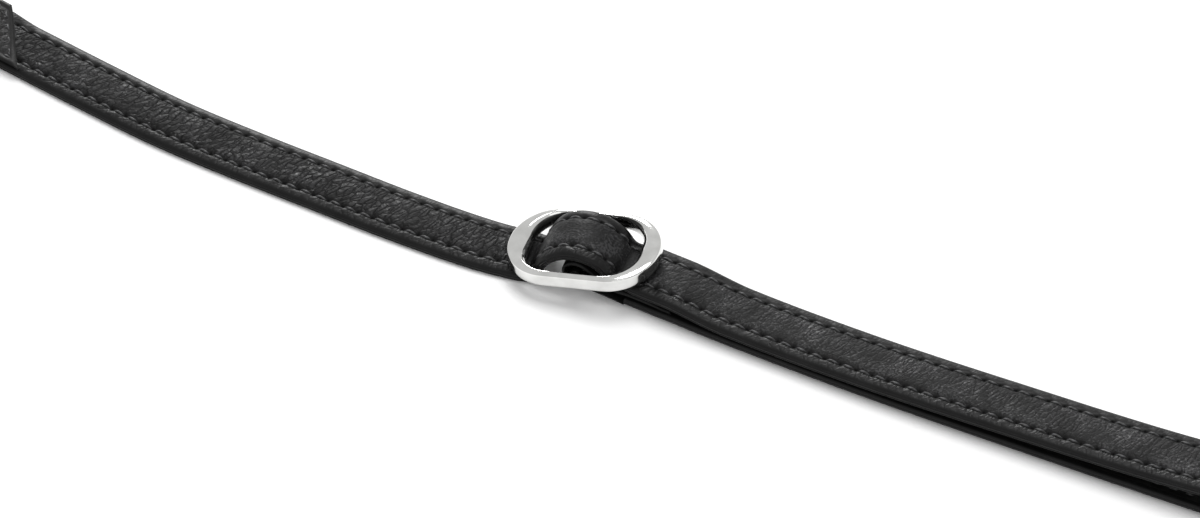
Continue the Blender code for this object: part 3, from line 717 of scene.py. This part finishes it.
def strap_tail():
    """The thin tail: round the bar and folded back, its cut edges burnished round."""
    side = tail_side()
    tail = Strap(PLAN_LINE, side)
    start, end = side.nearest(spot(TAIL_START, 0)), side.at[-1]
    shares = np.array([-1, -0.985, -0.93, -0.7, -0.4, 0, 0.4, 0.7, 0.93, 0.985, 1])
    rise = np.array([0.2, 0.6, 0.8, 0.8, 0.8, 0.8, 0.8, 0.8, 0.8, 0.6, 0.2]) * MM
    columns = round((end - start) / (0.4 * MM))
    piece, along_share, across_share = flat_grid("folded_tail", FACE, columns, len(shares) - 1)
    place = np.rint(across_share * (len(shares) - 1)).astype(int)
    along = start + (end - start) * along_share
    skived = np.clip((end - along) / (6 * MM), 0.45, 1)
    across = (STRAP_WIDTH / 2 - 0.2 * MM) * shares[place]
    row = STRAP_WIDTH / 2 - ROW_INSET
    panel = np.clip((row - np.abs(across)) / (0.5 * MM), 0, 1)
    set_points(piece, tail.place(along, across, rise[place] * skived))
    set_attribute(piece, "panel", panel * 0.3)
    set_uv(piece, along, across)
    apply(piece, "SOLIDIFY", thickness=1.35 * MM, offset=-1.0)
    smooth(piece, 60)
    thread = stitched("folded_tail_thread", tail, *edge_rows(end - 17 * MM, end - 2 * MM, STRAP_WIDTH, False))
    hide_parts("tail_wrap")
    for made in (piece, thread):
        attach(made, "slide_tail")


# ---------------------------------------------------------------- the slide


def oval(width, length, corner, turn_steps=22, straight_steps=10):
    """The outline of an oval with straight sides and round corners, counter-clockwise from +X."""
    x, y = length / 2 - corner, width / 2 - corner
    outline = []
    for n, (sx, sy) in enumerate(((1, 1), (-1, 1), (-1, -1), (1, -1))):
        centre = spot(sx * x, sy * y)
        turn = [centre + corner * spot(math.cos(a), math.sin(a))
                for a in np.radians(np.linspace(90 * n, 90 * n + 90, turn_steps))]
        nxt = ((-1, 1), (-1, -1), (1, -1), (1, 1))[n]
        begin = spot(nxt[0] * x, nxt[1] * y) + (turn[-1] - centre)
        straight = [turn[-1] + (begin - turn[-1]) * k / straight_steps for k in range(1, straight_steps)]
        outline += turn + straight
    return np.array(outline)


# The frame's section, from its outer side over the top to the window and back: (share inwards, share up).
# Its underside is lifted a little, to clear the strap when the slide rocks.
FRAME_SECTION = (
    (0.0, 0.45), (0.0, 0.68), (0.005, 0.8), (0.03, 0.87), (0.1, 0.91), (0.25, 0.945), (0.42, 0.98),
    (0.55, 1.0), (0.64, 1.0), (0.7, 0.985), (0.82, 0.88), (0.93, 0.73), (0.99, 0.6), (1.0, 0.42),
    (0.985, 0.25), (0.92, 0.1), (0.82, 0.05), (0.66, 0.035), (0.5, 0.035), (0.3, 0.035), (0.15, 0.045),
    (0.05, 0.08), (0.005, 0.18), (0.0, 0.3),
)
SLIDE_PLACE = (
    Matrix.Translation(BAR) @ Matrix.Rotation(SLIDE_YAW, 4, "Z") @ Matrix.Rotation(-SLIDE_PITCH, 4, "Y")
)


def slide_frame():
    outer = oval(SLIDE_WIDTH, SLIDE_LENGTH, FRAME_CORNER)
    inner = oval(SLIDE_WIDTH - 2 * SLIDE_RAIL, SLIDE_LENGTH - 2 * SLIDE_END, WINDOW_CORNER)
    bpy.ops.object.select_all(action="DESELECT")
    bpy.ops.mesh.primitive_torus_add(
        major_segments=len(outer), minor_segments=len(FRAME_SECTION), major_radius=1, minor_radius=0.25,
    )
    piece = named("oval_slide_frame", CHROME)
    section = np.array(FRAME_SECTION)
    flat = outer[:, None] * (1 - section[None, :, :1]) + inner[:, None] * section[None, :, :1]
    height = np.broadcast_to(section[None, :, 1:] * SLIDE_HEIGHT - SLIDE_DROP, (*flat.shape[:2], 1))
    set_points(piece, np.concatenate([flat, height], -1).reshape(-1, 3))
    apply(piece, "SUBSURF", levels=1, render_levels=1)
    piece.data.transform(SLIDE_PLACE)
    smooth(piece, 70)
    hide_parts("slide_frame")
    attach(piece, "slide")


def slide_bar():
    bpy.ops.object.select_all(action="DESELECT")
    length = SLIDE_WIDTH - 2 * SLIDE_RAIL + 1.2 * MM
    bpy.ops.mesh.primitive_cylinder_add(vertices=48, radius=BAR_RADIUS, depth=length)
    piece = named("slide_bar_turned", CHROME)
    apply(piece, "BEVEL", width=0.3 * MM, segments=3, limit_method="ANGLE")
    piece.data.transform(SLIDE_PLACE @ Matrix.Rotation(math.radians(90), 4, "X"))
    smooth(piece, 40)
    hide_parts("slide_bar")
    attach(piece, "slide")


# ---------------------------------------------------------------- fork, arms and rings


FORK_HALF = ARM_GAP / 2 + ARM_WIDTH + COVERED * COVER_FLARE


def cover_half(along):
    share = np.clip((COVER_SPREAD_AT - along) / (COVER_SPREAD_AT - COVER_BASE), 0, 1)
    return STRAP_WIDTH / 2 + (FORK_HALF - STRAP_WIDTH / 2) * share**0.8


def fork_cover(name, node, start, end, surface, outward, slant, finish):
    """A thin cover over the fork, its edges skived down, stitched round and dimpled by the stitches."""
    columns = round((end - start) / (0.7 * MM))
    shares = np.concatenate([[-1, -0.985, -0.95], np.linspace(-0.9, 0.9, 33), [0.95, 0.985, 1]])
    piece, along_share, across_share = flat_grid(name, finish, columns, len(shares) - 1)
    side = shares[np.rint(across_share * (len(shares) - 1)).astype(int)]
    shift = slant / 2 * side * along_share**3
    along = start + (end - start) * along_share - shift
    across = side * cover_half(along)
    from_end = end - (along + shift)
    from_edge = np.minimum(cover_half(along) - np.abs(across), np.minimum(from_end, along - start))
    rounded = np.clip(from_edge / (0.7 * MM), 0, 1)
    sunk = np.exp(-((from_edge - COVER_ROW_INSET) / (0.5 * MM)) ** 2)
    crease = ripples(along, across, 41, 2.2 * MM, 5 * MM, 0.2)
    lift = COVER_THICK - 0.35 * MM * (1 - rounded) ** 2 - 0.16 * MM * sunk + 0.025 * MM * crease * rounded
    set_points(piece, STRAP.place(along, across, outward * (surface + lift)))
    inside = np.clip((from_edge - 2.2 * MM) / (0.5 * MM), 0, 1)
    set_attribute(piece, "panel", inside)
    # As on the strap, the crease attribute sets the painted shade in the crease valleys, and the dip
    # attribute paints shade into the dimples of the stitch row.
    set_attribute(piece, "crease", inside * 0.6)
    set_attribute(piece, "dip", sunk * 0.35)
    set_uv(piece, along, across)
    if outward < 0:
        piece.data.flip_normals()
    apply(piece, "SOLIDIFY", thickness=COVER_THICK * 0.6, offset=-1.0)
    smooth(piece, 60)
    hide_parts(node)
    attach(piece, "fork")


def cover_thread():
    """Stitches along the top cover's sides and its slanted end."""
    inset = COVER_ROW_INSET
    height = HALF + GAP + COVER_THICK * 0.87
    rows = []
    for side in (-1, 1):
        places = []
        along = COVER_BASE + 4 * MM
        while along < COVER_TIP - side * COVER_SLANT / 2 - inset:
            places.append((along, side * (float(cover_half(along)) - inset)))
            along += STITCH_PITCH
        rows.append((places, 0.0))
    half = STRAP_WIDTH / 2 - inset
    lean = math.atan2(STRAP_WIDTH, -COVER_SLANT)
    count = 4
    end_row = []
    for n in range(count):
        across = -half + (n + 0.5) * 2 * half / count
        end_row.append((COVER_TIP - inset * 1.2 - across / STRAP_WIDTH * COVER_SLANT, across))
    rows.append((end_row, lean))
    piece = stitched("fork_cover_thread", STRAP, rows, [height] * 3)
    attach(piece, "fork")


def arm(which, side, bow):
    """One arm of the fork, turned back round its rein ring and sewn down."""
    fork, inward = PLAN_LINE.read(np.array(STRAP_END))
    line = arm_plan(fork - inward * GAP, -inward, -side, bow)
    heights = arm_side()
    route = Strap(line, heights)
    end = heights.at[-1]
    face = face_piece(f"arm_{which}_face_leather", route, 5 * MM, end, ARM_WIDTH, 50 + side, 0.6, 0.7 * MM)
    lining = lining_piece(f"arm_{which}_lining_leather", route, 5 * MM, end, ARM_WIDTH)
    thread = stitched(f"arm_{which}_thread", route, *edge_rows(COVERED + 2 * MM, end - 2 * MM, ARM_WIDTH))
    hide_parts(f"face_arm_{which}", f"core_arm_{which}")
    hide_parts(f"lining_arm_{which}")
    hold, free = route.place(COVERED - 3 * MM, 0, 0), route.place(COVERED + 28 * MM, 0, 0)
    for piece in (face, lining, thread):
        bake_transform(piece)


def rein_ring(which):
    """A ring of round wire, butt welded, the weld ground to a low bead."""
    joint = next(j for j in frame["joints"] if j["name"] == f"ring_{which}_swing")
    hinge = Vector(joint["pos_m"])
    axis = Vector(joint["axis"])
    radius = (RING_DIAMETER - RING_WIRE) / 2
    bow = radius - math.sqrt(radius**2 - (ARM_WIDTH / 2) ** 2)
    tilt = math.asin((hinge.z - RING_WIRE / 2) / (2 * radius - bow / 2))
    bpy.ops.object.select_all(action="DESELECT")
    bpy.ops.mesh.primitive_torus_add(
        major_radius=radius, minor_radius=RING_WIRE / 2, major_segments=120, minor_segments=20,
    )
    piece = named(f"rein_ring_{which}", CHROME)
    points = points_of(piece)
    around = np.arctan2(points[:, 1], points[:, 0])
    weld = np.exp(-((np.abs(around - 2.2)) / 0.035) ** 2)
    centre = np.stack([radius * np.cos(around), radius * np.sin(around), np.zeros(len(around))], -1)
    set_points(piece, centre + (points - centre) * (1 + 0.05 * weld[:, None]))
    outward = Vector((-axis.y, axis.x, 0))
    heading = math.atan2(outward.y, outward.x)
    piece.data.transform(
        Matrix.Translation(hinge) @ Matrix.Rotation(heading, 4, "Z") @ Matrix.Rotation(tilt, 4, "Y")
        @ Matrix.Translation((radius - bow / 2, 0, 0))
    )
    smooth(piece, 70)
    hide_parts(f"ring_{which}")
    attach(piece, f"ring_{which}")


# ---------------------------------------------------------------- floor, light and camera


def studio():
    bpy.ops.object.select_all(action="DESELECT")
    bpy.ops.mesh.primitive_plane_add(size=12, location=(0, 0, -0.0002))
    paper, _, shader = finish_of("white_paper", Roughness=0.9)
    shader.inputs["Base Color"].default_value = hex_colour("fbfbfb")
    named("floor", paper)
    world = bpy.data.worlds.new("studio")
    bpy.context.scene.world = world
    world.use_nodes = True
    world.node_tree.nodes["Background"].inputs["Color"].default_value = hex_colour("ffffff")
    world.node_tree.nodes["Background"].inputs["Strength"].default_value = 0.75
    lamps = (
        ("overhead_softbox", (0.1, 0.3, 1.3), 0.7, 9.0),
        ("back_strip", (-0.6, 1.1, 0.5), 0.35, 9.0),
        ("front_fill", (0.7, -1.1, 0.9), 0.8, 1.5),
    )
    bpy.context.scene.view_settings.view_transform = "Standard"
    for name, place, size, power in lamps:
        data = bpy.data.lights.new(name, "AREA")
        data.shape = "SQUARE"
        data.size = size
        data.energy = power
        lamp = bpy.data.objects.new(name, data)
        bpy.context.scene.collection.objects.link(lamp)
        lamp.location = place
        lamp.rotation_euler = (BAR - Vector(place)).to_track_quat("-Z", "Y").to_euler()


def camera():
    azimuth, elevation = math.radians(28), math.radians(46)
    right = Vector((math.cos(azimuth), math.sin(azimuth), 0))
    away = Vector((-math.sin(azimuth), math.cos(azimuth), 0))
    aim_right, aim_away = 3.48 * MM, 4.57 * MM
    aim = Vector((BAR.x, BAR.y, 0)) + right * aim_right + away * aim_away
    distance, across_frame = 1.8, 0.288
    back = -away * math.cos(elevation) + Vector((0, 0, math.sin(elevation)))
    data = bpy.data.cameras.new("camera")
    data.lens = data.sensor_width * distance / across_frame
    view = bpy.data.objects.new("camera", data)
    bpy.context.scene.collection.objects.link(view)
    view.location = aim + back * distance
    view.rotation_euler = (-back).to_track_quat("-Z", "Y").to_euler()
    bpy.context.scene.camera = view


chest_strap()
strap_tail()
slide_frame()
slide_bar()
fork_cover(
    "fork_cover_top_leather", "fork_cover_top", COVER_BASE, COVER_TIP,
    HALF + GAP, 1, COVER_SLANT, FACE,
)
fork_cover(
    "fork_cover_bottom_leather", "fork_cover_bottom", COVER_BASE, BOTTOM_COVER_TIP,
    HALF + GAP, -1, 0.0, LINED,
)
cover_thread()
for which, side, bow in (("far", 1, 0.96), ("near", -1, 0.9)):
    arm(which, side, bow)
    rein_ring(which)
studio()
camera()
